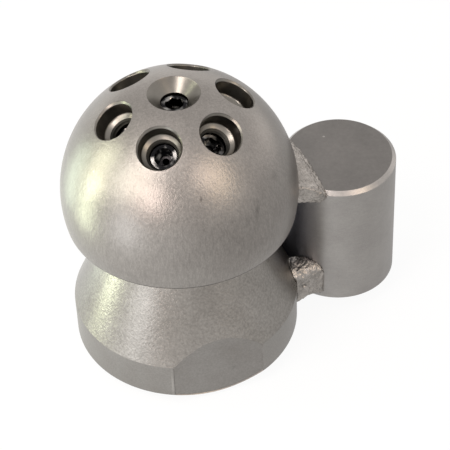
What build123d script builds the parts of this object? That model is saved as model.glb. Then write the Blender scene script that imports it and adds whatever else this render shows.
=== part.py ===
from build123d import *
from math import asin, atan2, cos, degrees, radians, sin, sqrt, tan
import os

os.makedirs("parts", exist_ok=True)

# All sizes are in millimetres and all angles in degrees.
# The origin is on the inlet's axis, in the bottom face of the foot, and the jets look up.

# Head: a ball with a slightly raised dome, cut off below its widest circle
head_radius = 30.0
dome_rise = 31.5
widest_height = 50.0
skirt_drop = 6.7
edge_break = 0.3
underside_slope = 35.0
waist_fillet = 2.0

# Foot: a cone that opens to a round band with two spanner flats
foot_radius = 29.3
rim_height = 14.3
foot_cone_angle = 23.3
foot_chamfer = 3.8
foot_chamfer_height = 4.2
across_flats = 53.0
flats_angle = 15.6
flat_run_out = 2.0
flat_edge_break = 0.2

# Inlet: the tapping bore of a G1 thread, and the water chamber above it
inlet_bore_radius = 15.145
inlet_thread_length = 20.0
inlet_chamfer = 1.6
chamber_radius = 14.0
chamber_top = 60.0
drill_point = 118.0

# Jets: where they stand and how they point
ring_jets = 6
ring_tilt = 30.4
ring_angle = -16.0
rear_jets = 6
rear_angle = 80.8

# Jet seats: recess, tapped hole, shoulder and water passage
seat_clearance = 1.0
jet_hole_radius = 4.0
recess_radius = 5.2
recess_depth = 4.7
recess_chamfer = 0.5
countersink_radius = 6.6
countersink_angle = 100.0
rear_hole_chamfer = 0.5
ring_face_depth = 6.9
centre_face_depth = 3.9
rear_face_depth = 1.2
passage_radius = 2.5

# Jet insert: a threaded carrier with a hexagon socket, and its hard tip
thread_clearance = 0.05
insert_length = 6.0
insert_chamfer = 0.4
socket_across_flats = 4.0
socket_depth = 3.0
socket_chamfer = 0.3
carrier_hole_radius = 1.5
tip_radius = 2.25
tip_length = 2.4
tip_clearance = 0.02
orifice_radius = 0.8
orifice_land = 1.0
tip_mouth_radius = 1.7

# Side weight: a plain bar that stands beside the foot
weight_radius = 15.0
weight_length = 38.4
weight_bottom = 5.0
weight_top_chamfer = 1.0
weight_bottom_chamfer = 0.4
weight_angle = 110.8
weight_gap = 0.4

# Welds between the nozzle and the weight
upper_weld_bite = 1.7
upper_weld_reach = 7.6
upper_weld_height = 4.2
upper_weld_drop = 1.2
upper_weld_lip = 0.6
upper_weld_belly = 0.5
upper_weld_sweep = 43.0
upper_weld_round = 2.0
lower_weld_reach = 11.6
lower_weld_width = 7.6
lower_weld_bottom = 5.4
lower_weld_top = 18.3
lower_weld_round = 3.7
lower_weld_scoop = 8.0
lower_weld_scoop_rise = 2.6
lower_weld_scoop_place = 2.2

# Places that follow from the sizes above
flank_radius = dome_rise**2 / head_radius
flank_centre = head_radius - flank_radius
nose_radius = (head_radius + head_radius**2 / dome_rise) / 2
nose_centre = dome_rise - nose_radius
edge_radius = flank_centre + sqrt(flank_radius**2 - skirt_drop**2)
edge_height = widest_height - skirt_drop
underside_rise = tan(radians(underside_slope))
cone_slope = tan(radians(foot_cone_angle))
waist_radius = (foot_radius - cone_slope * (edge_height - edge_radius * underside_rise - rim_height)) / (
    1 + cone_slope * underside_rise
)
waist_height = edge_height - (edge_radius - waist_radius) * underside_rise
underside_middle = (edge_radius + waist_radius) / 2
weight_distance = max(foot_radius, edge_radius) + weight_gap + weight_radius
weight_top = weight_bottom + weight_length


def point_rise(radius):
    """Height of a drill's point with this radius."""
    return radius / tan(radians(drill_point / 2))


def turned(points):
    """Solid turned about Z from the straight outline through these (radius, height) points."""
    outline = Polyline(*points, close=True)
    return revolve(Plane.XZ * make_face(outline), Axis.Z)


def along(turn, tilt, start):
    """Frame at start, its Z turned down from +Z by tilt, towards the side that turn gives.

    A turn of 0 faces -Y, and a larger one goes round towards +X.
    """
    outward = Vector(sin(radians(turn)), -cos(radians(turn)), 0)
    across = Vector(cos(radians(turn)), sin(radians(turn)), 0)
    direction = outward * sin(radians(tilt)) + Vector(0, 0, 1) * cos(radians(tilt))
    return Plane(origin=start, x_dir=across, z_dir=direction)


def dome_distance(tilt):
    """Distance from the head's centre to its nose, in the direction that tilt gives."""
    lean = radians(tilt)
    return nose_centre * cos(lean) + sqrt(nose_radius**2 - (nose_centre * sin(lean)) ** 2)


def dome_sag(radius):
    """How far the nose falls away at this radius round a jet."""
    return nose_radius - sqrt(nose_radius**2 - radius**2)


def ring_frame(turn, tilt):
    """Frame of a jet in the dome: on the dome, with the jet's axis through the head's centre."""
    centre = Vector(0, 0, widest_height)
    outward = along(turn, tilt, centre).z_dir
    return along(turn, tilt, centre + outward * dome_distance(tilt))


def rear_frame(turn):
    """Frame of a rear jet: in the middle of the head's underside, square to it."""
    height = (edge_height + waist_height) / 2
    start = Vector(underside_middle * sin(radians(turn)), -underside_middle * cos(radians(turn)), height)
    return along(turn, 180 - underside_slope, start)


def seat_bore(frame, mouth, face_depth, reach):
    """Cutter of one jet's seat: its mouth, the tapped hole, the shoulder and the passage.

    mouth holds (radius, depth) points from the outside in, and reach is the passage's depth.
    """
    shoulder = face_depth + insert_length
    rim = mouth[0][0]
    points = [(0, seat_clearance), (rim, seat_clearance)]
    points += [(radius, -depth) for radius, depth in mouth]
    points += [(jet_hole_radius, -shoulder), (passage_radius, -shoulder)]
    points += [(passage_radius, -reach), (0, -reach)]
    return frame.location * turned(points)


def ring_seat(turn):
    rim = recess_radius + recess_chamfer
    rim_depth = dome_sag(rim)
    mouth = [
        (rim, rim_depth),
        (recess_radius, rim_depth + recess_chamfer),
        (recess_radius, recess_depth),
        (jet_hole_radius, recess_depth + point_rise(recess_radius - jet_hole_radius)),
    ]
    return seat_bore(ring_frame(turn, ring_tilt), mouth, ring_face_depth, dome_distance(ring_tilt))


def centre_seat():
    rim_depth = dome_sag(countersink_radius)
    cone_depth = (countersink_radius - jet_hole_radius) / tan(radians(countersink_angle / 2))
    mouth = [(countersink_radius, rim_depth), (jet_hole_radius, rim_depth + cone_depth)]
    return seat_bore(ring_frame(0, 0), mouth, centre_face_depth, dome_rise)


def rear_seat(turn):
    mouth = [(jet_hole_radius + rear_hole_chamfer, 0), (jet_hole_radius, rear_hole_chamfer)]
    reach = (underside_middle - chamber_radius + passage_radius) / sin(radians(underside_slope))
    return seat_bore(rear_frame(turn), mouth, rear_face_depth, reach)


def head_and_foot():
    """Turned outside of the nozzle, solid right through."""
    top = (0, widest_height + dome_rise)
    skirt_angle = degrees(asin(skirt_drop / flank_radius))
    join_angle = degrees(atan2(abs(nose_centre), abs(flank_centre)))
    flank = CenterArc((flank_centre, widest_height), flank_radius, -skirt_angle, skirt_angle + join_angle)
    nose = CenterArc((0, widest_height + nose_centre), nose_radius, join_angle, 90 - join_angle)
    rest = Polyline(
        (edge_radius, edge_height),
        (waist_radius, waist_height),
        (foot_radius, rim_height),
        (foot_radius, foot_chamfer_height),
        (foot_radius - foot_chamfer, 0),
        (0, 0),
        top,
    )
    profile = make_face([nose, flank, rest])
    waist = profile.vertices().sort_by_distance((waist_radius, waist_height))[0]
    profile = fillet(waist, waist_fillet)
    edge = profile.vertices().sort_by_distance((edge_radius, edge_height))[0]
    profile = chamfer(edge, edge_break)
    return revolve(Plane.XZ * profile, Axis.Z)


def inlet_and_chamber():
    """Cutter of the inlet's bore and the water chamber."""
    chamber_step = inlet_bore_radius - chamber_radius
    return turned(
        [
            (0, 0),
            (inlet_bore_radius + inlet_chamfer, 0),
            (inlet_bore_radius, inlet_chamfer),
            (inlet_bore_radius, inlet_thread_length),
            (chamber_radius, inlet_thread_length + chamber_step),
            (chamber_radius, chamber_top),
            (0, chamber_top + point_rise(chamber_radius)),
        ]
    )


def with_spanner_flats(body):
    """Body with two flats, which run out in the foot's cone, and with the edges round them broken."""
    height = rim_height + (foot_radius - across_flats / 2) / cone_slope + flat_run_out
    block = Box(2 * foot_radius, 2 * height, foot_radius, align=(Align.CENTER, Align.CENTER, Align.MIN))
    for turn in (flats_angle, flats_angle + 180):
        side = along(turn, 90, (0, 0, rim_height / 2)).offset(across_flats / 2)
        body -= side.location * block
        flat = body.faces().sort_by_distance(side.origin)[0]
        body = chamfer(flat.edges(), flat_edge_break)
    return body


def nozzle_body():
    """Turned outside with the spanner flats, less the inlet, the water chamber and every jet's seat."""
    body = with_spanner_flats(head_and_foot()) - inlet_and_chamber()
    for number in range(ring_jets):
        body -= ring_seat(ring_angle + number * 360 / ring_jets)
    for number in range(rear_jets):
        body -= rear_seat(rear_angle + number * 360 / rear_jets)
    return body - centre_seat()


def jet_insert():
    """Threaded carrier, its outer face at Z = 0 and its body below."""
    radius = jet_hole_radius - thread_clearance
    blank = turned(
        [
            (0, 0),
            (radius - insert_chamfer, 0),
            (radius, -insert_chamfer),
            (radius, insert_chamfer - insert_length),
            (radius - insert_chamfer, -insert_length),
            (0, -insert_length),
        ]
    )
    corner_radius = socket_across_flats / 2 / cos(radians(30))
    socket = extrude(RegularPolygon(corner_radius, 6), -socket_depth)
    lead_in = Cone(corner_radius - socket_chamfer, corner_radius + socket_chamfer, 2 * socket_chamfer)
    bores = Cylinder(carrier_hole_radius, 2 * insert_length)
    bores += Pos(0, 0, -insert_length) * Cylinder(tip_radius, 2 * tip_length)
    return blank - socket - lead_in - bores


def jet_tip():
    """Hard tip, seated against the carrier's inner shoulder, with a mouth on the water side."""
    radius = tip_radius - tip_clearance
    back = -insert_length
    front = tip_length - insert_length
    land_end = front - orifice_land
    return turned(
        [
            (orifice_radius, front),
            (radius, front),
            (radius, back),
            (tip_mouth_radius, back),
            (orifice_radius, land_end),
        ]
    )


def side_weight():
    turn = radians(weight_angle)
    bar = turned(
        [
            (0, 0),
            (weight_radius - weight_bottom_chamfer, 0),
            (weight_radius, weight_bottom_chamfer),
            (weight_radius, weight_length - weight_top_chamfer),
            (weight_radius - weight_top_chamfer, weight_length),
            (0, weight_length),
        ]
    )
    return Pos(weight_distance * sin(turn), -weight_distance * cos(turn), weight_bottom) * bar


def flank_reach(height):
    """Radius of the head's flank at this height."""
    return flank_centre + sqrt(flank_radius**2 - (widest_height - height) ** 2)


def upper_weld(body, weight):
    """Weld that fills the corner between the head's flank and the weight's top face."""
    bottom = weight_top - upper_weld_drop
    top = weight_top + upper_weld_height
    toe = weight_distance - weight_radius + upper_weld_reach
    root = flank_reach(bottom) - upper_weld_bite
    lip = (toe, weight_top + upper_weld_lip)
    crest = (flank_reach(top), top)
    middle = ((lip[0] + crest[0]) / 2 + upper_weld_belly, (lip[1] + crest[1]) / 2 + upper_weld_belly)
    rest = Polyline(crest, (root, top), (root, bottom), (toe, bottom), lip)
    face = make_face([ThreePointArc(lip, middle, crest), rest])
    start = weight_angle - 90 - upper_weld_sweep / 2
    bead = Rot(0, 0, start) * revolve(Plane.XZ * face, Axis.Z, upper_weld_sweep)
    ends = bead.edges().filter_by(Axis.Z).sort_by_distance((0, 0, bottom))[-2:]
    return fillet(ends, upper_weld_round) - body - weight


def lower_weld(body, weight, side):
    """Weld that fills one valley between the foot and the weight; side is -1 in front, 1 behind."""
    start = foot_radius - lower_weld_reach
    height = lower_weld_top - lower_weld_bottom
    middle = side * (lower_weld_reach - lower_weld_width / 2)
    face = Rectangle(lower_weld_width, height, align=(Align.CENTER, Align.MIN))
    face = fillet(face.vertices().group_by(Axis.Y)[-1], lower_weld_round)
    block = extrude(Plane.YZ * Pos(middle, lower_weld_bottom) * face, weight_distance - start)
    scoop_height = lower_weld_bottom + lower_weld_scoop_rise - lower_weld_scoop
    scoop_place = foot_radius + lower_weld_scoop_place
    scoop = Pos(scoop_place, 0, scoop_height) * Rot(90, 0, 0) * Cylinder(lower_weld_scoop, 2 * weight_radius)
    weld = Rot(0, 0, weight_angle - 90) * (Pos(start, 0, 0) * block - scoop)
    return weld - body - weight


def in_seats(piece, frames, face_depths):
    """Copies of a jet's piece, one in each frame, its face at that depth below the surface."""
    return [frame.location * Pos(0, 0, -depth) * piece for frame, depth in zip(frames, face_depths)]


body = nozzle_body()
weight = side_weight()
nodes = {
    "nozzle_body": body,
    "side_weight": weight,
    "upper_weld": upper_weld(body, weight),
    "front_lower_weld": lower_weld(body, weight, -1),
    "rear_lower_weld": lower_weld(body, weight, 1),
}

ring_frames = [ring_frame(ring_angle + number * 360 / ring_jets, ring_tilt) for number in range(ring_jets)]
rear_frames = [rear_frame(rear_angle + number * 360 / rear_jets) for number in range(rear_jets)]
frames = [ring_frame(0, 0)] + ring_frames + rear_frames
depths = [centre_face_depth] + [ring_face_depth] * ring_jets + [rear_face_depth] * rear_jets
names = ["centre_jet"] + [f"front_jet_{number + 1}" for number in range(ring_jets)]
names += [f"rear_jet_{number + 1}" for number in range(rear_jets)]
for name, insert in zip(names, in_seats(jet_insert(), frames, depths)):
    nodes[f"{name}_insert"] = insert
for name, tip in zip(names, in_seats(jet_tip(), frames, depths)):
    nodes[f"{name}_tip"] = tip

for name, shape in nodes.items():
    export_step(shape, f"parts/{name}.step")
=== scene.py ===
import math

import bmesh
import bpy
from mathutils import Euler, Matrix, Vector, noise


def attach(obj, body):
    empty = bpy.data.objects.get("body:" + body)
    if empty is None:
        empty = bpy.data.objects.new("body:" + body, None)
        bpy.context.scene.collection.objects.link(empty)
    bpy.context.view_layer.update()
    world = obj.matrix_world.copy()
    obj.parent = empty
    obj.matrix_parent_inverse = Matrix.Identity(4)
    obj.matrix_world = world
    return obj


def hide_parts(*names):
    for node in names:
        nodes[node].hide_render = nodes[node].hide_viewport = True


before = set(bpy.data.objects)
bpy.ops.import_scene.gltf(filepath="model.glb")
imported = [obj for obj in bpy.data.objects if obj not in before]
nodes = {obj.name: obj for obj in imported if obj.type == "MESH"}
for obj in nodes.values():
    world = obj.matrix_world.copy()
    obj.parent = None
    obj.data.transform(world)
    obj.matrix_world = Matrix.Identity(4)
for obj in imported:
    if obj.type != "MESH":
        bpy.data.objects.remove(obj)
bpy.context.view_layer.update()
print("frame loaded:", len(nodes), "nodes")

mm = 0.001  # sizes below are in millimetres, meshes in metres
up = Vector((0, 0, 1))
creaseAngle = 28  # faces that meet more sharply keep a hard edge


# Small helpers for meshes

def onCircle(radius, turn, height):
    # a turn of 0 is on the camera's side, and a larger one goes round to the right
    angle = math.radians(turn)
    return Vector((radius * math.sin(angle), -radius * math.cos(angle), height))


def jetFrame(start, turn, tilt):
    # Z points out along the jet, turned down from straight up by tilt
    aim = Euler((math.radians(tilt), 0, math.radians(turn)), "XYZ")
    return Matrix.Translation(start * mm) @ aim.to_matrix().to_4x4()


def wire(bm, points):
    # open chain of (radius, height) points in the XZ plane
    verts = [bm.verts.new((radius * mm, 0, height * mm)) for radius, height in points]
    for first, second in zip(verts, verts[1:]):
        bm.edges.new((first, second))
    return verts


def roundCorner(bm, vert, offset, segments=3):
    bmesh.ops.bevel(
        bm, geom=[vert], offset=offset * mm, offset_type="OFFSET", segments=segments,
        profile=0.5, affect="VERTICES", material=-1)


def spinRound(bm, steps):
    bmesh.ops.spin(
        bm, geom=bm.verts[:] + bm.edges[:], cent=(0, 0, 0), axis=(0, 0, 1),
        angle=math.tau, steps=steps, use_merge=True)
    bmesh.ops.remove_doubles(bm, verts=bm.verts, dist=0.0005 * mm)
    bmesh.ops.recalc_face_normals(bm, faces=bm.faces)


def turnedShape(points, steps, rounds=None, closed=False):
    # points run round the section, and rounds gives the corners that are eased, as {place: offset}
    bm = bmesh.new()
    verts = wire(bm, points)
    if closed:
        bm.edges.new((verts[-1], verts[0]))
    for place, offset in (rounds or {}).items():
        roundCorner(bm, verts[place], offset)
    spinRound(bm, steps)
    return bm


def helixRidge(section, pitch, turns, stepsPerTurn):
    # section is a closed (radius, height) outline, swept up along a thread
    bm = bmesh.new()
    verts = wire(bm, section)
    bm.edges.new((verts[-1], verts[0]))
    start = bm.faces.new(verts)
    steps = int(turns * stepsPerTurn)
    bmesh.ops.spin(
        bm, geom=[start], cent=(0, 0, 0), axis=(0, 0, 1), angle=math.tau * turns,
        dvec=(0, 0, pitch * turns * mm / steps), steps=steps)
    bmesh.ops.recalc_face_normals(bm, faces=bm.faces)
    return bm


def meshOf(bm, name):
    mesh = bpy.data.meshes.new(name)
    bm.to_mesh(mesh)
    bm.free()
    return mesh


def addObject(name, mesh):
    thing = bpy.data.objects.new(name, mesh)
    bpy.context.scene.collection.objects.link(thing)
    return thing


def joinInto(bm, mesh, place=None):
    extra = mesh.copy()
    if place is not None:
        extra.transform(place)
    bm.from_mesh(extra)
    bpy.data.meshes.remove(extra)


def applyModifiers(thing):
    # bakes the live modifiers into the mesh, so that the piece stands alone
    graph = bpy.context.evaluated_depsgraph_get()
    baked = bpy.data.meshes.new_from_object(thing.evaluated_get(graph))
    old = thing.data
    thing.modifiers.clear()
    thing.data = baked
    baked.name = thing.name
    bpy.data.meshes.remove(old)


def cutAway(thing, cutterMesh):
    cutter = addObject("cutter", cutterMesh)
    cut = thing.modifiers.new("cut", "BOOLEAN")
    cut.operation = "DIFFERENCE"
    cut.solver = "EXACT"
    cut.object = cutter
    cut.material_mode = "INDEX"
    applyModifiers(thing)
    bpy.data.objects.remove(cutter)
    bpy.data.meshes.remove(cutterMesh)


def shadeByAngle(piece, angle):
    # smooth up to the angle, and flat faces keep their shade right up to their eased corners
    piece.data.polygons.foreach_set("use_smooth", [True] * len(piece.data.polygons))
    piece.data.set_sharp_from_angle(angle=math.radians(angle))
    weighted = piece.modifiers.new("weighted", "WEIGHTED_NORMAL")
    weighted.keep_sharp = True
    applyModifiers(piece)


def declare(piece, slotName, *standsFor):
    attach(piece, "root")
    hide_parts(*standsFor)


# Small helpers for materials

def newMaterial(name):
    material = bpy.data.materials.new(name)
    material.use_nodes = True
    tree = material.node_tree
    shader = tree.nodes["Principled BSDF"]
    coords = tree.nodes.new("ShaderNodeTexCoord")
    return material, tree, shader, coords.outputs["Object"]


def node(tree, kind, inputs=None, **settings):
    made = tree.nodes.new(kind)
    for key, value in settings.items():
        setattr(made, key, value)
    for key, value in (inputs or {}).items():
        if isinstance(value, bpy.types.NodeSocket):
            tree.links.new(value, made.inputs[key])
        else:
            made.inputs[key].default_value = value
    return made


def stretched(tree, coords, scale):
    return node(tree, "ShaderNodeMapping", {"Vector": coords, "Scale": scale}).outputs["Vector"]


def grain(tree, coords, scale, detail=3.0, roughness=0.6):
    noiseNode = node(tree, "ShaderNodeTexNoise", {
        "Vector": coords, "Scale": scale, "Detail": detail, "Roughness": roughness})
    return noiseNode.outputs["Fac"]


def between(tree, value, low, high, fromLow=0.3, fromHigh=0.7):
    # rescales a value to the range low to high, by default from the middle of a noise's range
    rescaled = node(tree, "ShaderNodeMapRange", {
        "Value": value, "From Min": fromLow, "From Max": fromHigh, "To Min": low, "To Max": high})
    return rescaled.outputs["Result"]


def mixed(tree, share, first, second):
    # first where the share is 0 and second where it is 1, each a colour or a node's output
    made = node(tree, "ShaderNodeMix", data_type="RGBA")
    tree.links.new(share, made.inputs["Factor"])
    for name, colour in (("A", first), ("B", second)):
        if isinstance(colour, bpy.types.NodeSocket):
            tree.links.new(colour, made.inputs[name])
        else:
            made.inputs[name].default_value = (*colour, 1)
    return made.outputs["Result"]


def vectorMath(tree, operation, inputs):
    return node(tree, "ShaderNodeVectorMath", inputs, operation=operation)


def product(tree, first, second):
    return node(tree, "ShaderNodeMath", {0: first, 1: second}, operation="MULTIPLY").outputs[0]


def shaded(tree, colour, factor):
    # colour made lighter or darker by a factor near 1
    return vectorMath(tree, "SCALE", {0: colour, "Scale": factor}).outputs[0]


def bumped(tree, height, distance, strength, under=None):
    inputs = {"Height": height, "Distance": distance * mm, "Strength": strength}
    if under is not None:
        inputs["Normal"] = under
    return node(tree, "ShaderNodeBump", inputs).outputs["Normal"]


def roundTheAxis(tree, coords, centre=(0, 0, 0)):
    # (cosine, sine, height) round a vertical axis, so that a pattern has no seam
    moved = vectorMath(tree, "ADD", {0: coords, 1: (-centre[0], -centre[1], 0)})
    level = vectorMath(tree, "MULTIPLY", {0: moved.outputs[0], 1: (1, 1, 0)})
    unit = vectorMath(tree, "NORMALIZE", {0: level.outputs[0]})
    parts = node(tree, "ShaderNodeSeparateXYZ", {"Vector": unit.outputs[0]})
    place = node(tree, "ShaderNodeSeparateXYZ", {"Vector": coords})
    joined = node(tree, "ShaderNodeCombineXYZ", {
        "X": parts.outputs["X"], "Y": parts.outputs["Y"], "Z": place.outputs["Z"]})
    return joined.outputs["Vector"]


# Nozzle body: one turned piece, cut for its jet seats and spanner flats

bodySizes = {
    "headRadius": 30.0,
    "domeRise": 31.5,  # from the head's widest circle up to its top
    "widestHeight": 50.0,
    "skirtDrop": 6.7,  # from the widest circle down to the head's lower edge
    "edgeEasing": 0.3,
    "undersideSlope": 35.0,
    "waistEasing": 1.1,
    "footRadius": 29.3,
    "rimHeight": 14.3,  # where the foot's straight band ends and the cone begins
    "rimEasing": 0.15,
    "coneAngle": 23.3,
    "chamferWide": 3.8,
    "chamferHigh": 4.2,
    "acrossFlats": 53.0,
    "flatsTurn": 15.6,  # degrees round from the camera's side to the right, as every turn here
    "flatEdge": 0.2,  # bevel round a flat
    "flatClearance": 2.0,  # how far the cut goes on above the place where the flats run out
    "boreRadius": 15.145,
    "threadRoot": 16.62,
    "threadPitch": 2.309,
    "threadLength": 20.0,
    "threadRunOut": 1.5,
    "threadSink": 0.05,  # how far the ridge's root lies in the wall
    "threadShort": 1.0,  # length left off at the inner end
    "threadStart": 0.1,
    "threadSteps": 96,
    "rootHalf": 0.15,  # half widths of the ridge's section, at the root, the flanks' ends and the crest
    "flankHalf": 0.28,
    "crestHalf": 0.12,
    "rootRound": 0.1,  # shares of the thread's depth that are rounded
    "crestRound": 0.12,
    "boreChamfer": 1.6,
    "chamberRadius": 14.0,
    "chamberTop": 60.0,
    "drillPoint": 118.0,  # full angle of a drilled hole's end
    "boreMargin": 0.2,  # room for faces that lie where one finish meets the next
    "edgeMargin": 0.1,
    "waistMargin": 0.5,
    "normalsAbove": 0.05,  # height above the head's lower edge from which normals follow the arcs
    "arcSteps": 40,
    "turnSteps": 288,
}

flankRadius = bodySizes["domeRise"] ** 2 / bodySizes["headRadius"]
flankCentre = bodySizes["headRadius"] - flankRadius
noseRadius = (bodySizes["headRadius"] + bodySizes["headRadius"] ** 2 / bodySizes["domeRise"]) / 2
noseCentre = bodySizes["domeRise"] - noseRadius
skirtAngle = math.asin(bodySizes["skirtDrop"] / flankRadius)
joinAngle = math.atan2(noseCentre, -flankCentre)
edgeRadius = flankCentre + math.sqrt(flankRadius ** 2 - bodySizes["skirtDrop"] ** 2)
edgeHeight = bodySizes["widestHeight"] - bodySizes["skirtDrop"]
undersideRise = math.tan(math.radians(bodySizes["undersideSlope"]))
coneSlope = math.tan(math.radians(bodySizes["coneAngle"]))
coneReach = coneSlope * (edgeHeight - edgeRadius * undersideRise - bodySizes["rimHeight"])
waistRadius = (bodySizes["footRadius"] - coneReach) / (1 + coneSlope * undersideRise)
waistHeight = edgeHeight - (edgeRadius - waistRadius) * undersideRise

# the places of the body's finishes in its list of materials
ballFinish, underFinish, coneFinish, bandFinish, shadedSeatFinish, boreFinish, threadShadowFinish, flatFinish = range(8)


def pointRise(radius):
    # height of a drilled hole's pointed end
    return radius / math.tan(math.radians(bodySizes["drillPoint"] / 2))


def domeDistance(tilt):
    # from the middle of the head's widest circle out to the nose arc
    lean = math.radians(tilt)
    return noseCentre * math.cos(lean) + math.sqrt(noseRadius ** 2 - (noseCentre * math.sin(lean)) ** 2)


def domeSag(radius):
    # how far the ball's skin has fallen away at a radius round a seat's axis
    return noseRadius - math.sqrt(noseRadius ** 2 - radius ** 2)


def arcOn(bm, vert, centre, angle):
    # carries the outline on round centre, a (radius, height) point
    made = bmesh.ops.spin(
        bm, geom=[vert], cent=(centre[0] * mm, 0, centre[1] * mm), axis=(0, 1, 0),
        angle=angle, steps=bodySizes["arcSteps"])
    return [item for item in made["geom_last"] if isinstance(item, bmesh.types.BMVert)][0]


def bodyOutline(bm):
    sizes = bodySizes
    top = bm.verts.new((0, 0, (sizes["widestHeight"] + sizes["domeRise"]) * mm))
    join = arcOn(bm, top, (0, sizes["widestHeight"] + noseCentre), math.pi / 2 - joinAngle)
    edge = arcOn(bm, join, (flankCentre, sizes["widestHeight"]), joinAngle + skirtAngle)
    rest = wire(bm, [
        (waistRadius, waistHeight),
        (sizes["footRadius"], sizes["rimHeight"]),
        (sizes["footRadius"], sizes["chamferHigh"]),
        (sizes["footRadius"] - sizes["chamferWide"], 0),
        (sizes["boreRadius"] + sizes["boreChamfer"], 0),
        (sizes["threadRoot"], sizes["boreRadius"] + sizes["boreChamfer"] - sizes["threadRoot"]),
        (sizes["threadRoot"], sizes["threadLength"] - sizes["threadRunOut"]),
        (sizes["boreRadius"], sizes["threadLength"]),
        (sizes["chamberRadius"], sizes["threadLength"] + sizes["boreRadius"] - sizes["chamberRadius"]),
        (sizes["chamberRadius"], sizes["chamberTop"]),
        (0, sizes["chamberTop"] + pointRise(sizes["chamberRadius"])),
    ])
    bm.edges.new((edge, rest[0]))
    waist, rim, chamferTop, chamferFoot = rest[:4]
    roundCorner(bm, waist, sizes["waistEasing"], segments=8)
    roundCorner(bm, edge, sizes["edgeEasing"], segments=4)
    for corner in (rim, chamferTop, chamferFoot):
        roundCorner(bm, corner, sizes["rimEasing"])


def finishAt(centre):
    sizes = bodySizes
    radius = math.hypot(centre.x, centre.y) / mm
    height = centre.z / mm
    chamberTip = sizes["chamberTop"] + pointRise(sizes["chamberRadius"])
    inBore = radius < sizes["threadRoot"] + sizes["boreMargin"] and height < edgeHeight
    inChamber = radius < sizes["chamberRadius"] + sizes["boreMargin"]
    if inBore or (inChamber and height < chamberTip + sizes["boreMargin"]):
        return boreFinish
    if height > edgeHeight - sizes["edgeMargin"]:
        return ballFinish
    if height > waistHeight + sizes["waistMargin"]:
        return underFinish
    return coneFinish if height > sizes["rimHeight"] else bandFinish


# Jet seats: each cutter is turned round Z, which points out of the body along the jet

seatSizes = {
    "ringJets": 6,
    "ringTilt": 30.4,
    "ringTurn": -16.0,
    "rearJets": 6,
    "rearTurn": 80.8,
    "holeRadius": 4.0,  # at the thread's root
    "recessRadius": 5.2,
    "recessDepth": 4.7,
    "recessEdge": 0.5,
    "recessRounding": 0.12,
    "ledgeRounding": 0.35,  # where the recess's wall meets its conical ledge
    "ledgeRing": 0.3,  # width of the ledge's last ring of faces before the hole
    "sinkRadius": 6.6,
    "sinkAngle": 100.0,
    "sinkRounding": 0.2,
    "crestRadius": 3.46,
    "crestFlat": 0.08,
    "rootHalf": 0.04,
    "threadPitch": 1.0,
    "rearEdge": 0.5,
    "ringFace": 6.9,  # depths of the inserts' faces below the surface
    "centreFace": 3.9,
    "rearFace": 1.2,
    "passageRadius": 2.5,
    "clearance": 1.0,
    "ringReach": 18.0,  # depths of the passages, which end in the water chamber
    "centreReach": 16.0,
    "rearReach": 20.0,
    "turnSteps": 96,
}


def threadAbove(crestDepth, faceDepth):
    # (radius, depth) points of the tapped thread that shows in front of the insert's face
    sizes = seatSizes
    flank = (sizes["threadPitch"] - 2 * sizes["crestFlat"]) / 2
    points = []
    depth = crestDepth
    while depth < faceDepth:
        root = depth + sizes["crestFlat"] + flank
        points += [(sizes["crestRadius"], depth), (sizes["crestRadius"], depth + sizes["crestFlat"])]
        points += [(sizes["holeRadius"], root - sizes["rootHalf"])]
        points += [(sizes["holeRadius"], root + sizes["rootHalf"])]
        depth += sizes["threadPitch"]
    return points[:-1]


def seatCutter(mouth, rounds, faceDepth, reach):
    # mouth holds (radius, depth) points from the surface down to the insert's face, and two points
    # come before them, which counts for the places in rounds
    sizes = seatSizes
    shoulder = faceDepth + insertSizes["length"]
    points = [(0, sizes["clearance"]), (mouth[0][0], sizes["clearance"])]
    points += [(radius, -depth) for radius, depth in mouth]
    points += [(sizes["holeRadius"], -shoulder), (sizes["passageRadius"], -shoulder)]
    points += [(sizes["passageRadius"], -reach), (0, -reach)]
    bm = turnedShape(points, sizes["turnSteps"], rounds)
    # faces of the tapped thread take the near-black painted shadow, the rest the seat finish with its
    # painted shade
    for face in bm.faces:
        middle = face.calc_center_median() / mm
        inThread = math.hypot(middle.x, middle.y) < sizes["holeRadius"] and middle.z < -sizes["rearEdge"]
        face.material_index = threadShadowFinish if inThread else shadedSeatFinish
    return meshOf(bm, "seatCutter")


def ringSeat():
    sizes = seatSizes
    rim = sizes["recessRadius"] + sizes["recessEdge"]
    rimDepth = domeSag(rim)
    mouth = [
        (rim, rimDepth),
        (sizes["recessRadius"], rimDepth + sizes["recessEdge"]),
        (sizes["recessRadius"], sizes["recessDepth"]),
    ]
    for radius in (sizes["holeRadius"] + sizes["ledgeRing"], sizes["holeRadius"]):
        mouth += [(radius, sizes["recessDepth"] + pointRise(sizes["recessRadius"] - radius))]
    crest = sizes["recessDepth"] + pointRise(sizes["recessRadius"] - sizes["crestRadius"])
    mouth += threadAbove(crest, sizes["ringFace"])
    rounds = {3: sizes["recessRounding"], 4: sizes["ledgeRounding"]}
    return seatCutter(mouth, rounds, sizes["ringFace"], sizes["ringReach"])


def centreSeat():
    sizes = seatSizes
    rimDepth = domeSag(sizes["sinkRadius"])
    halfAngle = math.radians(sizes["sinkAngle"] / 2)
    crest = rimDepth + (sizes["sinkRadius"] - sizes["crestRadius"]) / math.tan(halfAngle)
    mouth = [(sizes["sinkRadius"], rimDepth)] + threadAbove(crest, sizes["centreFace"])
    return seatCutter(mouth, {2: sizes["sinkRounding"]}, sizes["centreFace"], sizes["centreReach"])


def rearSeat():
    sizes = seatSizes
    rim = sizes["holeRadius"] + sizes["rearEdge"]
    mouth = [(rim, 0)] + threadAbove(rim - sizes["crestRadius"], sizes["rearFace"])
    return seatCutter(mouth, None, sizes["rearFace"], sizes["rearReach"])


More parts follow.
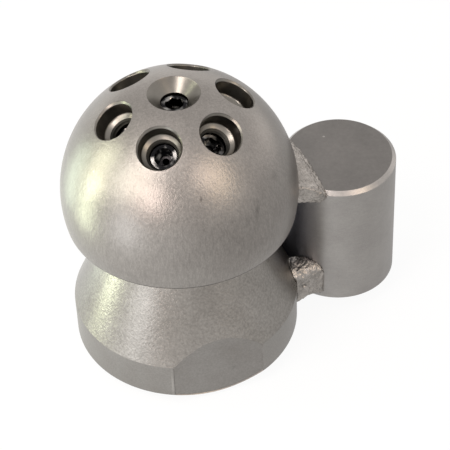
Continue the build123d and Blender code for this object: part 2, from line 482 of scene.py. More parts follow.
def ringFrames():
    sizes = seatSizes
    centre = Vector((0, 0, bodySizes["widestHeight"]))
    tilt = math.radians(sizes["ringTilt"])
    places = []
    for number in range(sizes["ringJets"]):
        turn = sizes["ringTurn"] + number * 360 / sizes["ringJets"]
        outward = onCircle(math.sin(tilt), turn, math.cos(tilt))
        start = centre + outward * domeDistance(sizes["ringTilt"])
        places.append(jetFrame(start, turn, sizes["ringTilt"]))
    return places


def rearFrames():
    sizes = seatSizes
    places = []
    for number in range(sizes["rearJets"]):
        turn = sizes["rearTurn"] + number * 360 / sizes["rearJets"]
        start = onCircle((edgeRadius + waistRadius) / 2, turn, (edgeHeight + waistHeight) / 2)
        places.append(jetFrame(start, turn, 180 - bodySizes["undersideSlope"]))
    return places


def centreFrame():
    return jetFrame(Vector((0, 0, bodySizes["widestHeight"] + bodySizes["domeRise"])), 0, 0)


def allSeats():
    seats = (
        (ringSeat(), ringFrames()),
        (centreSeat(), [centreFrame()]),
        (rearSeat(), rearFrames()),
    )
    bm = bmesh.new()
    for cutter, places in seats:
        for place in places:
            joinInto(bm, cutter, place)
        bpy.data.meshes.remove(cutter)
    return meshOf(bm, "seats")


# Spanner flats, inlet thread and the finished body

def flatCutters():
    # the flats are cut a little shallow, and their middles are then let in by the same amount
    sizes = bodySizes
    bm = bmesh.new()
    onCone = (sizes["footRadius"] - sizes["acrossFlats"] / 2) / coneSlope
    high = 2 * (sizes["rimHeight"] + onCone + sizes["flatClearance"])
    size = (2 * sizes["footRadius"] * mm, sizes["footRadius"] * mm, high * mm)
    for turn in (sizes["flatsTurn"], sizes["flatsTurn"] + 180):
        middle = onCircle(sizes["acrossFlats"] / 2 + sizes["flatEdge"] + sizes["footRadius"] / 2, turn, 0)
        spin = Matrix.Rotation(math.radians(turn), 3, "Z")
        made = bmesh.ops.create_cube(bm, size=1)
        bmesh.ops.scale(bm, vec=size, verts=made["verts"])
        bmesh.ops.rotate(bm, cent=(0, 0, 0), matrix=spin, verts=made["verts"])
        bmesh.ops.translate(bm, vec=middle * mm, verts=made["verts"])
    for face in bm.faces:
        face.material_index = flatFinish
    return meshOf(bm, "flats")


def easeFlats(piece):
    # lets the middle of each flat in, which leaves a small bevel round it
    sizes = bodySizes
    reach = (sizes["acrossFlats"] / 2 + sizes["flatEdge"]) * mm
    bm = bmesh.new()
    bm.from_mesh(piece.data)
    for turn in (sizes["flatsTurn"], sizes["flatsTurn"] + 180):
        outward = onCircle(1, turn, 0)
        flat = [face for face in bm.faces if face.normal.dot(outward) > 0.9999
                and abs(face.calc_center_median().dot(outward) - reach) < 0.01 * mm]
        bmesh.ops.inset_region(
            bm, faces=flat, thickness=sizes["flatEdge"] * mm, depth=-sizes["flatEdge"] * mm)
    bm.to_mesh(piece.data)
    bm.free()


def inletThread():
    # the ridges of the thread, their crests at the tapping bore, cut back by the lead-in chamfer
    sizes = bodySizes
    half = sizes["threadPitch"] / 2
    depth = sizes["threadRoot"] - sizes["boreRadius"]
    sunk = sizes["threadRoot"] + sizes["threadSink"]
    nearRoot = sizes["threadRoot"] - sizes["rootRound"] * depth
    nearCrest = sizes["boreRadius"] + sizes["crestRound"] * depth
    section = [
        (sunk, -half + sizes["rootHalf"]),
        (nearRoot, -half + sizes["flankHalf"]),
        (nearCrest, -sizes["flankHalf"]),
        (sizes["boreRadius"], -sizes["crestHalf"]),
        (sizes["boreRadius"], sizes["crestHalf"]),
        (nearCrest, sizes["flankHalf"]),
        (nearRoot, half - sizes["flankHalf"]),
        (sunk, half - sizes["rootHalf"]),
    ]
    turns = (sizes["threadLength"] - sizes["threadShort"]) / sizes["threadPitch"]
    bm = helixRidge(section, sizes["threadPitch"], turns, sizes["threadSteps"])
    leadIn = sizes["boreRadius"] + sizes["boreChamfer"]
    for vert in bm.verts:
        height = vert.co.z / mm
        radius = math.hypot(vert.co.x, vert.co.y) / mm
        runOut = sizes["boreRadius"] + (height - sizes["threadLength"] + sizes["threadRunOut"])
        least = min(max(leadIn - height, runOut, radius), sunk)
        vert.co.x *= least / radius
        vert.co.y *= least / radius
        vert.co.z = max(vert.co.z, sizes["threadStart"] * mm)
    for face in bm.faces:
        face.material_index = boreFinish
    return meshOf(bm, "inletThread")


def trueBallNormals(mesh):
    # the cuts leave slivers in the ball, so its normals are set from the arcs themselves
    normals = [normal.vector.copy() for normal in mesh.corner_normals]
    join = bodySizes["widestHeight"] + noseRadius * math.sin(joinAngle) + noseCentre
    lowest = (edgeHeight + bodySizes["normalsAbove"]) * mm
    for polygon in mesh.polygons:
        if polygon.material_index != ballFinish or polygon.center.z < lowest:
            continue
        for corner in polygon.loop_indices:
            place = mesh.vertices[mesh.loops[corner].vertex_index].co / mm
            outward = Vector((place.x, place.y, 0))
            if place.z > join:
                centre = Vector((0, 0, bodySizes["widestHeight"] + noseCentre))
            else:
                centre = outward.normalized() * flankCentre + up * bodySizes["widestHeight"]
            normals[corner] = (place - centre).normalized()
    mesh.normals_split_custom_set(normals)


def makeNozzleBody(materials):
    bm = bmesh.new()
    bodyOutline(bm)
    spinRound(bm, bodySizes["turnSteps"])
    for face in bm.faces:
        face.material_index = finishAt(face.calc_center_median())
    piece = addObject("nozzleBody", meshOf(bm, "nozzleBody"))
    for material in materials:
        piece.data.materials.append(material)
    print("nozzle body turned:", len(piece.data.polygons), "faces")
    for cutter in (allSeats(), flatCutters()):
        for material in materials:
            cutter.materials.append(material)
        cutAway(piece, cutter)
    easeFlats(piece)
    bm = bmesh.new()
    bm.from_mesh(piece.data)
    thread = inletThread()
    joinInto(bm, thread)
    bpy.data.meshes.remove(thread)
    bm.to_mesh(piece.data)
    bm.free()
    shadeByAngle(piece, creaseAngle)
    trueBallNormals(piece.data)
    print("nozzle body cut:", len(piece.data.polygons), "faces")
    return piece


# Jet inserts and their hard tips

insertSizes = {
    "radius": 3.95,
    "length": 6.0,
    "edge": 0.4,
    "faceEdge": 0.25,
    "backEdge": 0.3,
    "pitch": 1.0,
    "threadDepth": 0.5,
    "threadSink": 0.05,  # how far the ridge's root lies inside the core
    "threadShort": 0.6,  # turns left off
    "crestHalf": 0.07,
    "rootHalf": 0.06,
    "socketFlats": 4.0,
    "socketDepth": 3.0,
    "socketEdge": 0.3,
    "socketRounding": 0.12,
    "boreRadius": 1.5,
    "tipRadius": 2.23,
    "tipClearance": 0.02,
    "tipLength": 2.4,
    "tipEasing": 0.1,
    "landEasing": 0.08,
    "keyTurns": (12, 41, 25, 7, 52, 33, 18, 46, 4, 29, 55, 14, 37),  # where each socket came to rest
    "orifice": 0.8,
    "orificeLand": 1.0,
    "tipMouth": 1.7,
    "turnSteps": 72,
}


def cutSocket(piece):
    # the hexagon for the key, with its lead-in cone, both in the second finish, a light steel painted in as
    # glints on the facets
    sizes = insertSizes
    corner = sizes["socketFlats"] / 2 / math.cos(math.radians(30))
    bm = bmesh.new()
    bmesh.ops.create_cone(
        bm, cap_ends=True, segments=6, radius1=corner * mm, radius2=corner * mm,
        depth=2 * sizes["socketDepth"] * mm)
    upright = [edge for edge in bm.edges if abs(edge.verts[0].co.z - edge.verts[1].co.z) > mm]
    bmesh.ops.bevel(
        bm, geom=upright, offset=sizes["socketRounding"] * mm, offset_type="OFFSET", segments=2,
        profile=0.5, affect="EDGES", material=-1)
    for face in bm.faces:
        face.material_index = 1
    cutAway(piece, meshOf(bm, "socket"))
    bm = bmesh.new()
    bmesh.ops.create_cone(
        bm, cap_ends=True, segments=sizes["turnSteps"], radius1=(corner - sizes["socketEdge"]) * mm,
        radius2=(corner + sizes["socketEdge"]) * mm, depth=2 * sizes["socketEdge"] * mm)
    for face in bm.faces:
        face.material_index = 1
    cutAway(piece, meshOf(bm, "leadIn"))


def insertThread():
    # the thread's ridge, eased down to the core at both ends
    sizes = insertSizes
    back = -sizes["length"]
    half = sizes["pitch"] / 2
    root = sizes["radius"] - sizes["threadDepth"] - sizes["threadSink"]
    section = [
        (root, -half + sizes["rootHalf"]),
        (sizes["radius"], -sizes["crestHalf"]),
        (sizes["radius"], sizes["crestHalf"]),
        (root, half - sizes["rootHalf"]),
    ]
    turns = (sizes["length"] - 2 * sizes["edge"]) / sizes["pitch"] - sizes["threadShort"]
    bm = helixRidge(section, sizes["pitch"], turns, sizes["turnSteps"])
    bmesh.ops.translate(bm, vec=(0, 0, (back + 2 * sizes["edge"]) * mm), verts=bm.verts)
    widest = sizes["radius"] - sizes["edge"]
    for vert in bm.verts:
        height = vert.co.z / mm
        radius = math.hypot(vert.co.x, vert.co.y) / mm
        most = min(widest - height, widest + height - back)
        keep = min(radius, max(most, root)) / radius
        vert.co.x *= keep
        vert.co.y *= keep
    return meshOf(bm, "insertThread")


def insertMesh():
    sizes = insertSizes
    back = -sizes["length"]
    core = sizes["radius"] - sizes["threadDepth"]
    pocket = back + sizes["tipLength"]
    pocketRadius = sizes["tipRadius"] + sizes["tipClearance"]
    blank = turnedShape([
        (sizes["boreRadius"], 0),
        (core - sizes["faceEdge"], 0),
        (core, -sizes["faceEdge"]),
        (core, back + sizes["edge"]),
        (core - sizes["backEdge"], back),
        (pocketRadius, back),
        (pocketRadius, pocket),
        (sizes["boreRadius"], pocket),
    ], sizes["turnSteps"], closed=True)
    for face in blank.faces:
        onRim = face.calc_center_median().z > -sizes["faceEdge"] * mm and 0.1 < face.normal.z < 0.9
        face.material_index = int(onRim)  # the rim round the dark face, in the light steel painted in as its edge highlight
    piece = addObject("insertBlank", meshOf(blank, "insertBlank"))
    cutSocket(piece)
    threads = insertThread()
    bm = bmesh.new()
    bm.from_mesh(piece.data)
    joinInto(bm, threads)
    bpy.data.meshes.remove(threads)
    bpy.data.objects.remove(piece)
    return meshOf(bm, "jetInsert")


def tipMesh():
    sizes = insertSizes
    back = -sizes["length"]
    front = back + sizes["tipLength"]
    bm = turnedShape([
        (sizes["orifice"], front),
        (sizes["tipRadius"], front),
        (sizes["tipRadius"], back),
        (sizes["tipMouth"], back),
        (sizes["orifice"], front - sizes["orificeLand"]),
    ], sizes["turnSteps"], {0: sizes["landEasing"], 1: sizes["tipEasing"]}, closed=True)
    return meshOf(bm, "jetTip")


def fitJets(insertSteel, socketSteel, hardTip):
    sizes = seatSizes
    places = [("centre_jet", centreFrame(), sizes["centreFace"])]
    places += [(f"front_jet_{n + 1}", place, sizes["ringFace"]) for n, place in enumerate(ringFrames())]
    places += [(f"rear_jet_{n + 1}", place, sizes["rearFace"]) for n, place in enumerate(rearFrames())]
    insert = insertMesh()
    tip = tipMesh()
    for mesh, materials in ((insert, (insertSteel, socketSteel)), (tip, (hardTip,))):
        mesh.materials.clear()
        for material in materials:
            mesh.materials.append(material)
    for (name, place, depth), keyTurn in zip(places, insertSizes["keyTurns"]):
        sunk = Matrix.Translation((0, 0, -depth * mm))
        seat = place @ sunk @ Matrix.Rotation(math.radians(keyTurn), 4, "Z")
        for mesh, part, slotName in ((insert, "insert", "insert_steel"), (tip, "tip", "hard_tip")):
            own = mesh.copy()
            own.transform(seat)
            piece = addObject(f"{name}_{part}_look", own)
            shadeByAngle(piece, creaseAngle)
            declare(piece, slotName, f"{name}_{part}")
    bpy.data.meshes.remove(insert)
    bpy.data.meshes.remove(tip)
    print("jets fitted:", len(places))


# Side weight and the welds that hold it

weightSizes = {
    "radius": 15.0,
    "length": 38.4,
    "bottom": 5.0,
    "topEdge": 1.0,
    "bottomEdge": 0.4,
    "cornerEasing": 0.06,
    "turn": 110.8,
    "gap": 0.4,
    "turnSteps": 192,
}
weightDistance = max(bodySizes["footRadius"], edgeRadius) + weightSizes["gap"] + weightSizes["radius"]
weightPlace = onCircle(weightDistance, weightSizes["turn"], weightSizes["bottom"])
weightTop = weightSizes["bottom"] + weightSizes["length"]


def makeSideWeight(sideFinish, shadedTopFinish):
    sizes = weightSizes
    bm = turnedShape([
        (0, 0),
        (sizes["radius"] - sizes["bottomEdge"], 0),
        (sizes["radius"], sizes["bottomEdge"]),
        (sizes["radius"], sizes["length"] - sizes["topEdge"]),
        (sizes["radius"] - sizes["topEdge"], sizes["length"]),
        (0, sizes["length"]),
    ], sizes["turnSteps"], {3: sizes["cornerEasing"], 4: sizes["cornerEasing"]})
    # the top face takes the second finish, darker as painted shade
    for face in bm.faces:
        face.material_index = int(face.normal.z > 0.99)
    piece = addObject("sideWeight", meshOf(bm, "sideWeight"))
    piece.data.transform(Matrix.Translation(weightPlace * mm))
    for material in (sideFinish, shadedTopFinish):
        piece.data.materials.append(material)
    shadeByAngle(piece, creaseAngle)
    print("side weight made")
    return piece


weldSizes = {
    "voxel": 0.2,
    "softening": 4,
    "swell": 0.1,
    "lumps": (1.7, 0.22),  # spacing and height of the rough surface, coarse to fine
    "scales": (0.7, 0.2),
    "specks": (0.34, 0.09),
    "toeDraw": {"upperWeld": 1.0},  # how far the middle of the toe runs straighter than an arc
    "toeDrawTurn": 109.0,  # middle and half width of the drawn stretch, in degrees round the axis
    "toeDrawSpread": 20.0,
    "toeDrawFrom": 32.0,  # distance from the axis where it starts
    "toeDrawBelow": 0.5,  # how far below the weight's top face it goes
    "toeReach": 7.0,  # where it is full, counted from the weight's near side
    "toeWidth": 0.5,  # the groove along the toe, and its distance from the weight
    "toeDepth": 0.22,
    "toeOffset": 0.2,
    "pores": [((31.4, -0.5, 12.1), 0.75, 0.6), ((33.1, 0.2, 10.6), 0.5, 0.25)],  # place, radius, depth
}


def fromWeight(place):
    # distance from the side weight's skin, in millimetres
    flat = Vector((place.x - weightPlace.x, place.y - weightPlace.y, 0)).length
    aside = flat - weightSizes["radius"]
    return max(aside, place.z - weightTop)


def drawnToe(place, amount):
    # the toe of a bead pulled in towards the ball, most at its middle
    sizes = weldSizes
    radius = math.hypot(place.x, place.y)
    turn = math.degrees(math.atan2(place.x, -place.y))
    share = max(0, 1 - ((turn - sizes["toeDrawTurn"]) / sizes["toeDrawSpread"]) ** 2)
    toe = weightDistance - weightSizes["radius"] + sizes["toeReach"]
    beyond = max(0, radius - sizes["toeDrawFrom"]) / (toe - sizes["toeDrawFrom"])
    keep = (radius - amount * share * beyond) / radius
    return Vector((place.x * keep, place.y * keep, place.z))


def makeWeld(name, nodeName, material):
    # a remeshed copy of the plain weld, roughened like a hand-laid bead
    sizes = weldSizes
    bm = bmesh.new()
    bm.from_mesh(nodes[nodeName].data)
    bmesh.ops.remove_doubles(bm, verts=bm.verts, dist=0.001 * mm)
    piece = addObject(name, meshOf(bm, name))
    remesh = piece.modifiers.new("even", "REMESH")
    remesh.mode = "VOXEL"
    remesh.voxel_size = sizes["voxel"] * mm
    applyModifiers(piece)
    bm = bmesh.new()
    bm.from_mesh(piece.data)
    for _ in range(sizes["softening"]):
        bmesh.ops.smooth_vert(
            bm, verts=bm.verts, factor=0.5, use_axis_x=True, use_axis_y=True, use_axis_z=True)
    draw = sizes["toeDraw"].get(name, 0)
    for vert in bm.verts:
        if draw and vert.co.z > (weightTop - sizes["toeDrawBelow"]) * mm:
            vert.co = drawnToe(vert.co / mm, draw) * mm
    bm.normal_update()
    for vert in bm.verts:
        place = vert.co / mm
        rise = sizes["swell"]
        for spacing, height in (sizes["lumps"], sizes["scales"], sizes["specks"]):
            rise += noise.noise(place / spacing) * height
        toe = max(0, 1 - abs(fromWeight(place) - sizes["toeOffset"]) / sizes["toeWidth"])
        rise -= sizes["toeDepth"] * toe
        for centre, radius, depth in sizes["pores"]:
            rise -= depth * max(0, 1 - (place - Vector(centre)).length / radius)
        vert.co += vert.normal * rise * mm
    bmesh.ops.recalc_face_normals(bm, faces=bm.faces)
    bm.to_mesh(piece.data)
    bm.free()
    piece.data.materials.clear()
    piece.data.materials.append(material)
    piece.data.polygons.foreach_set("use_smooth", [True] * len(piece.data.polygons))
    return piece


# Marks: place in millimetres, radius, light left at the middle, and the squeeze of a long one

ballMarksAndGlints = [
    ((18.3, -21.3, 60.5), 0.9, 0.68, (1, 0.28, 0.28)),
    ((23.0, -13.6, 64.1), 1.7, 0.8),
    ((19.2, -22.1, 51.9), 0.8, 0.74),
    ((15.6, -23.7, 59.5), 0.9, 0.84, (1, 0.5, 0.5)),
    ((13.1, -26.0, 54.9), 1.1, 0.86),
    ((15.6, -24.8, 50.5), 1.0, 0.86),
    ((4.9, -24.2, 67.8), 0.32, 0.42, (1, 0.25, 0.25)),
    # the last two are painted glints: lighter spots standing in for sparkle in the ball's highlight on the
    # left
    ((-20.4, -13.0, 68.8), 0.45, 1.7),
    ((-20.3, -19.0, 61.4), 0.35, 1.3),
]
# a lighter streak down the corner between the band and the front flat
cornerStreak = [((-4.91, -28.88, 8.5), 0.38, 1.4, (1, 1, 0.06))]
flatMarks = cornerStreak + [((11.1, -24.4, 8.4), 0.8, 0.82)]
topMarks = [
    ((38.7, 23.3, 43.4), 0.4, 2.2),
    ((46.0, 8.0, 43.4), 1.6, 1.1),
    ((40.5, 12.5, 43.4), 1.2, 0.9),
]
markSizes = {
    "grain": 1500,
    "meanNoise": 0.5,  # the noise that makes a mark ragged scales distances by this on average
}


def spot(tree, coords, place, radius, middle, squeeze=(1, 1, 1)):
    # a factor of 1 that goes to middle close to one place on the skin, and squeeze makes the spot long
    aside = vectorMath(tree, "SUBTRACT", {0: coords, 1: tuple(Vector(place) * mm)})
    squeezed = vectorMath(tree, "MULTIPLY", {0: aside.outputs[0], 1: squeeze})
    away = vectorMath(tree, "LENGTH", {0: squeezed.outputs[0]}).outputs["Value"]
    wobbled = product(tree, away, grain(tree, coords, markSizes["grain"], 2.0))
    return between(tree, wobbled, middle, 1, 0, markSizes["meanNoise"] * radius * mm)


def withSpots(tree, coords, colour, marks):
    for mark in marks:
        colour = shaded(tree, colour, spot(tree, coords, *mark))
    return colour


# Finishes: tones are the dark and the light colour that the metal wanders between

def wandering(tree, cloudy, tones):
    return mixed(tree, between(tree, cloudy, 0, 1), *tones)


def makeSteel(tree, shader, colour, roughness, normal=None):
    tree.links.new(colour, shader.inputs["Base Color"])
    tree.links.new(roughness, shader.inputs["Roughness"])
    shader.inputs["Metallic"].default_value = 1
    if normal is not None:
        tree.links.new(normal, shader.inputs["Normal"])


brushedSizes = {
    "tones": ((0.275, 0.257, 0.24), (0.32, 0.302, 0.282)),
    "clouds": 70,
    "strokes": (1750, 1750, 480),  # how often they repeat along each axis
    "strokeLight": (0.88, 1.1),
    "strokeDepth": 0.1,
    "hairs": (3600, 3600, 1500),
    "hairLight": (0.9, 1.09),
    "hairDepth": 0.05,
    "relief": 0.6,
    "roughness": (0.3, 0.38),
    "creaseShadeHeights": (0.08, 0.45),  # above the head's lower edge, where its painted shade along the crease fades out
    "creaseShadeFactor": 0.12,
}


def brushedBall():
    sizes = brushedSizes
    material, tree, shader, coords = newMaterial("brushedBall")
    strokes = grain(tree, stretched(tree, coords, sizes["strokes"]), 1.0)
    hairs = grain(tree, stretched(tree, coords, sizes["hairs"]), 1.0, 2.0)
    tone = wandering(tree, grain(tree, coords, sizes["clouds"]), sizes["tones"])
    tone = shaded(tree, tone, between(tree, strokes, *sizes["strokeLight"]))
    tone = shaded(tree, tone, between(tree, hairs, *sizes["hairLight"]))
    height = node(tree, "ShaderNodeSeparateXYZ", {"Vector": coords}).outputs["Z"]
    # painted shade: the ball's colour darkened in a thin band along its lower edge, standing in for the
    # shade in the crease above the cone
    shadeBottom, shadeTop = [(edgeHeight + above) * mm for above in sizes["creaseShadeHeights"]]
    tone = shaded(tree, tone, between(tree, height, sizes["creaseShadeFactor"], 1, shadeBottom, shadeTop))
    tone = withSpots(tree, coords, tone, ballMarksAndGlints)
    deep = bumped(tree, strokes, sizes["strokeDepth"], sizes["relief"])
    normal = bumped(tree, hairs, sizes["hairDepth"], sizes["relief"], deep)
    makeSteel(tree, shader, tone, between(tree, strokes, *sizes["roughness"]), normal)
    return material


blastedSizes = {
    "clouds": 90,
    "relief": 0.6,
    # the grain is counted to a metre, and its depth is in millimetres
    "blastedCone": {
        "tones": ((0.27, 0.255, 0.235), (0.33, 0.315, 0.295)), "roughness": (0.27, 0.33),
        "grain": 1500, "depth": 0.14, "speckle": 0.18},
    "satinBand": {
        "tones": ((0.27, 0.255, 0.238), (0.31, 0.3, 0.285)), "roughness": (0.36, 0.44),
        "grain": 2200, "depth": 0.06, "speckle": 0.1},
    # painted shade: darker tones than the ball's, standing in for the shade in the recesses
    "machinedSeatShaded": {
        "tones": ((0.17, 0.162, 0.145), (0.25, 0.238, 0.215)), "roughness": (0.27, 0.36),
        "grain": 3200, "depth": 0.008, "speckle": 0.05},
    "milledFlat": {
        "tones": ((0.245, 0.231, 0.216), (0.285, 0.274, 0.26)), "roughness": (0.34, 0.42),
        "grain": 1800, "depth": 0.05, "speckle": 0.1},
    # painted glints: light tones for the insert's socket and rim inside the dark holes
    "glintSocketSteel": {
        "tones": ((0.45, 0.44, 0.42), (0.75, 0.74, 0.71)), "roughness": (0.14, 0.26),
        "grain": 900, "depth": 0.01, "speckle": 0.1},
    "blackHardTip": {
        "tones": ((0.012, 0.012, 0.013), (0.022, 0.021, 0.021)), "roughness": (0.2, 0.3),
        "grain": 3000, "depth": 0.003, "speckle": 0.1},
    # painted shade: darker tones than the weight's side, standing in for the dim light on the top face
    "facedTopShaded": {
        "tones": ((0.185, 0.178, 0.17), (0.225, 0.216, 0.206)), "roughness": (0.36, 0.46),
        "grain": 900, "depth": 0.02, "speckle": 0.06},
}


def blastedSteel(name, marks=()):
    sizes = blastedSizes[name]
    material, tree, shader, coords = newMaterial(name)
    speck = grain(tree, coords, sizes["grain"], 3.0, 0.65)
    cloudy = grain(tree, coords, blastedSizes["clouds"])
    tone = wandering(tree, cloudy, sizes["tones"])
    tone = shaded(tree, tone, between(tree, speck, 1 - sizes["speckle"], 1 + sizes["speckle"]))
    tone = withSpots(tree, coords, tone, marks)
    normal = bumped(tree, speck, sizes["depth"], blastedSizes["relief"])
    makeSteel(tree, shader, tone, between(tree, cloudy, *sizes["roughness"]), normal)
    return material


turnedSizes = {
    "lines": (6, 6, 2600),  # how often the tool marks waver round the axis, and how close they lie
    "depth": 0.02,
    "relief": 0.5,
    "grain": 2400,
    "light": (0.95, 1.05),
    "clouds": 80,
    "turnedUnderside": {"tones": ((0.2, 0.19, 0.175), (0.26, 0.25, 0.235)), "roughness": (0.35, 0.45)},
    "inletBore": {"tones": ((0.2, 0.19, 0.18), (0.28, 0.27, 0.26)), "roughness": (0.28, 0.36)},
    # painted shadow: near-black tones for the tapped threads deep in each seat
    "shadowedThread": {"tones": ((0.02, 0.02, 0.018), (0.05, 0.049, 0.044)), "roughness": (0.45, 0.6)},
    "weightSteel": {"tones": ((0.345, 0.33, 0.317), (0.415, 0.4, 0.382)), "roughness": (0.34, 0.42)},
    "gapLightColour": (0.37, 0.39, 0.45),
    "gapLightReach": (30.5, 36.0),  # from the nozzle's axis, where the painted bluish light in the gap by the ball fades to plain steel
}


def turnedSteel(name, centre=(0, 0, 0), gapLit=False):
    sizes = turnedSizes
    material, tree, shader, coords = newMaterial(name)
    ring = roundTheAxis(tree, coords, centre)
    lines = grain(tree, stretched(tree, ring, sizes["lines"]), 1.0)
    speck = grain(tree, coords, sizes["grain"], 2.0)
    tone = wandering(tree, grain(tree, coords, sizes["clouds"]), sizes[name]["tones"])
    # painted light: a lighter bluish tone on the weight's side that faces the ball, standing in for the
    # sky's reflection in the shaded gap
    if gapLit:
        level = vectorMath(tree, "MULTIPLY", {0: coords, 1: (1, 1, 0)})
        reach = vectorMath(tree, "LENGTH", {0: level.outputs[0]}).outputs["Value"]
        near, far = [distance * mm for distance in sizes["gapLightReach"]]
        tone = mixed(tree, between(tree, reach, 1, 0, near, far), tone, sizes["gapLightColour"])
    for pattern in (lines, speck):
        tone = shaded(tree, tone, between(tree, pattern, *sizes["light"]))
    normal = bumped(tree, lines, sizes["depth"], sizes["relief"])
    makeSteel(tree, shader, tone, between(tree, lines, *sizes[name]["roughness"]), normal)
    return material


blackenedSizes = {
    "tones": ((0.014, 0.014, 0.015), (0.38, 0.375, 0.36)),  # the black, and the bright steel of the painted glints
    "patches": 400,
    "glints": (0.5, 0.68),  # noise values where the black begins to go and where it is gone
    "roughness": (0.06, 0.16),
}


def darkInsertSteel():
    # a glossy black finish with soft patches of bright steel, painted in as glints on the insert's face
    sizes = blackenedSizes
    material, tree, shader, coords = newMaterial("darkInsertSteel")
    patches = grain(tree, coords, sizes["patches"], 1.0, 0.4)
    glints = between(tree, patches, 0, 1, *sizes["glints"])
    tone = mixed(tree, glints, *sizes["tones"])
    makeSteel(tree, shader, tone, between(tree, patches, *sizes["roughness"]))
    return material


weldMetal = {
    "tones": ((0.25, 0.235, 0.217), (0.46, 0.43, 0.4)),
    "clouds": 350,
    "grain": 2200,
    "light": (0.75, 1.2),
    "roughness": (0.22, 0.42),
    "depth": 0.12,
    "relief": 0.8,
}


def roughWeld():
    sizes = weldMetal
    material, tree, shader, coords = newMaterial("roughWeld")
    speck = grain(tree, coords, sizes["grain"], 4.0, 0.65)
    tone = wandering(tree, grain(tree, coords, sizes["clouds"]), sizes["tones"])
    tone = shaded(tree, tone, between(tree, speck, *sizes["light"]))
    normal = bumped(tree, speck, sizes["depth"], sizes["relief"])
    makeSteel(tree, shader, tone, between(tree, speck, *sizes["roughness"]), normal)
    return material


# Putting it together

bodyFinishes = [
    brushedBall(),
    turnedSteel("turnedUnderside"),
    blastedSteel("blastedCone"),
    blastedSteel("satinBand", cornerStreak),
    blastedSteel("machinedSeatShaded"),
    turnedSteel("inletBore"),
    turnedSteel("shadowedThread"),
    blastedSteel("milledFlat", flatMarks),
]
nozzleBody = makeNozzleBody(bodyFinishes)
declare(nozzleBody, "body_steel", "nozzle_body")

fitJets(darkInsertSteel(), blastedSteel("glintSocketSteel"), blastedSteel("blackHardTip"))

weightSteel = turnedSteel("weightSteel", weightPlace * mm, gapLit=True)
shadedFacedSteel = blastedSteel("facedTopShaded", topMarks)
declare(makeSideWeight(weightSteel, shadedFacedSteel), "weight_steel", "side_weight")

weldFinish = roughWeld()
weldNodes = {
    "upperWeld": "upper_weld",
    "frontLowerWeld": "front_lower_weld",
    "rearLowerWeld": "rear_lower_weld",
}
for weldName, weldNode in weldNodes.items():
    declare(makeWeld(weldName, weldNode, weldFinish), "weld_metal", weldNode)
print("welds laid")


# Studio: floor, light and camera

studio = {
    "floorSize": 3.0,
    "floorSeen": 0.92,  # share of plain white in the floor, the rest takes the object's shadow
    "floorMirrored": 0.85,  # the same share where metal mirrors the floor
    "floorGlow": (1.2, 0.6),  # how bright metal sees it, on the window's side and on the other
    "floorFade": (-0.06, 0.07),  # across the floor, from the window's side to the other
    "floorCovered": 0.8,  # share of the foot's radius under which the floor stays dark
    "floorColour": (0.8, 0.8, 0.8),
    "roomColour": (0.9, 0.868, 0.85),
    "cameraPlace": (0, -0.37041, 0.39076),
    "cameraTurn": (46.2064, 1.7315, -3.3665),
    "lens": 159.877,
    "lampAim": (0.012, 0, 0.04),
    # each lamp: azimuth, elevation, distance, (width, height) in metres, power, colour
    "lamps": {
        "leftWindow": (-90, 6, 0.9, (0.12, 0.3), 1.02, (1, 0.97, 0.745)),
        "leftWindowTop": (-97.5, 24, 0.9, (0.12, 0.3), 1.24, (0.94, 1, 0.73)),
        "leftFront": (-66, 24, 0.9, (0.2, 0.5), 1.05, (1, 1, 0.89)),
        "frontWindow": (-50, 32, 0.9, (0.2, 0.5), 1.51, (1, 0.91, 0.795)),
        "front": (-30, 24, 0.9, (0.24, 0.3), 1.49, (1, 0.84, 0.785)),
        "highFront": (-45, 60, 0.9, (0.24, 0.3), 2.51, (1, 0.9, 0.86)),
        "rightFront": (44, 34, 0.9, (0.2, 0.5), 0.99, (1, 0.79, 0.57)),
        "rightInner": (30, 42, 0.9, (0.24, 0.3), 0.48, (1, 0.81, 0.74)),
        "backLeft": (-146, 3, 0.9, (0.45, 0.3), 0.22, (1, 1, 0.94)),
        "back": (172, 8, 0.9, (0.9, 0.25), 0.36, (1, 0.97, 0.93)),
        "backRight": (120, 3, 0.9, (0.5, 0.3), 0.34, (1, 0.94, 0.9)),
        "nearLeft": (-86, 0, 0.125, (0.022, 0.078), 0.0262, (0.87, 1, 0.69)),
        "nearLeftBack": (-108, 0, 0.125, (0.022, 0.078), 0.0177, (0.8, 1, 0.78)),
        "nearFront": (-50, 0, 0.16, (0.05, 0.078), 0.019, (0.93, 0.96, 1)),
    },
}


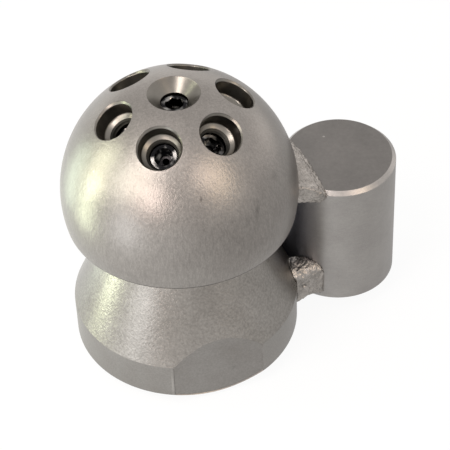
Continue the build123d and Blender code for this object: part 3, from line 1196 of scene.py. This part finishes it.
def whiteFloor():
    # white to the camera and a fading glow to the metal, both mixed into a plain floor that takes
    # the object's shadow
    bm = bmesh.new()
    bmesh.ops.create_grid(bm, x_segments=1, y_segments=1, size=studio["floorSize"] / 2)
    floor = addObject("floor", meshOf(bm, "floor"))
    material = bpy.data.materials.new("paleFloor")
    material.use_nodes = True
    tree = material.node_tree
    tree.nodes.clear()
    output = node(tree, "ShaderNodeOutputMaterial")
    plain = node(tree, "ShaderNodeBsdfDiffuse", {"Color": (*studio["floorColour"], 1)})
    glow = node(tree, "ShaderNodeEmission", {"Color": (1, 1, 1, 1), "Strength": 1})
    coords = node(tree, "ShaderNodeTexCoord").outputs["Object"]
    across = node(tree, "ShaderNodeSeparateXYZ", {"Vector": coords}).outputs["X"]
    fading = between(tree, across, *studio["floorGlow"], *studio["floorFade"])
    sheen = node(tree, "ShaderNodeEmission", {"Color": (1, 1, 1, 1), "Strength": fading})
    away = vectorMath(tree, "LENGTH", {0: coords}).outputs["Value"]
    covered = studio["floorCovered"] * bodySizes["footRadius"] * mm
    uncovered = node(tree, "ShaderNodeMath", {0: away, 1: covered}, operation="GREATER_THAN").outputs[0]
    path = node(tree, "ShaderNodeLightPath").outputs
    mirrored = node(tree, "ShaderNodeMath", {
        0: path["Is Glossy Ray"], 1: path["Is Transmission Ray"]}, operation="MAXIMUM").outputs[0]
    shown = plain.outputs[0]
    for rays, share, light in (
            (path["Is Camera Ray"], studio["floorSeen"], glow),
            (mirrored, studio["floorMirrored"], sheen)):
        factor = product(tree, product(tree, rays, share), uncovered)
        shown = node(tree, "ShaderNodeMixShader", {0: factor, 1: shown, 2: light.outputs[0]}).outputs[0]
    tree.links.new(shown, output.inputs["Surface"])
    floor.data.materials.append(material)


def softLight(name, azimuth, elevation, distance, size, power, colour):
    # an area lamp aimed at the object, azimuth 0 on the camera's side
    data = bpy.data.lights.new(name, "AREA")
    data.shape = "RECTANGLE"
    data.size, data.size_y = size
    data.energy = power
    data.color = colour
    lamp = bpy.data.objects.new(name, data)
    bpy.context.scene.collection.objects.link(lamp)
    middle = Vector(studio["lampAim"])
    flat = math.cos(math.radians(elevation)) * distance
    lamp.location = middle + onCircle(flat, azimuth, math.sin(math.radians(elevation)) * distance)
    lamp.rotation_euler = (middle - lamp.location).to_track_quat("-Z", "Y").to_euler()
    lamp.visible_camera = False


def lightStudio():
    # the camera sees a white room, and the object is lit by a slightly warm one
    world = bpy.data.worlds.new("paleRoom")
    bpy.context.scene.world = world
    world.use_nodes = True
    tree = world.node_tree
    tree.nodes.clear()
    output = node(tree, "ShaderNodeOutputWorld")
    seen = node(tree, "ShaderNodeLightPath").outputs["Is Camera Ray"]
    colour = mixed(tree, seen, studio["roomColour"], (1, 1, 1))
    room = node(tree, "ShaderNodeBackground", {"Color": colour})
    tree.links.new(room.outputs[0], output.inputs["Surface"])
    for name, setting in studio["lamps"].items():
        softLight(name, *setting)


def setCamera():
    data = bpy.data.cameras.new("camera")
    data.sensor_width = 36
    data.lens = studio["lens"]
    data.clip_start = 0.01
    camera = bpy.data.objects.new("camera", data)
    bpy.context.scene.collection.objects.link(camera)
    camera.location = studio["cameraPlace"]
    camera.rotation_euler = [math.radians(angle) for angle in studio["cameraTurn"]]
    bpy.context.scene.camera = camera


whiteFloor()
lightStudio()
setCamera()
bpy.context.scene.view_settings.view_transform = "Standard"
print("studio set")
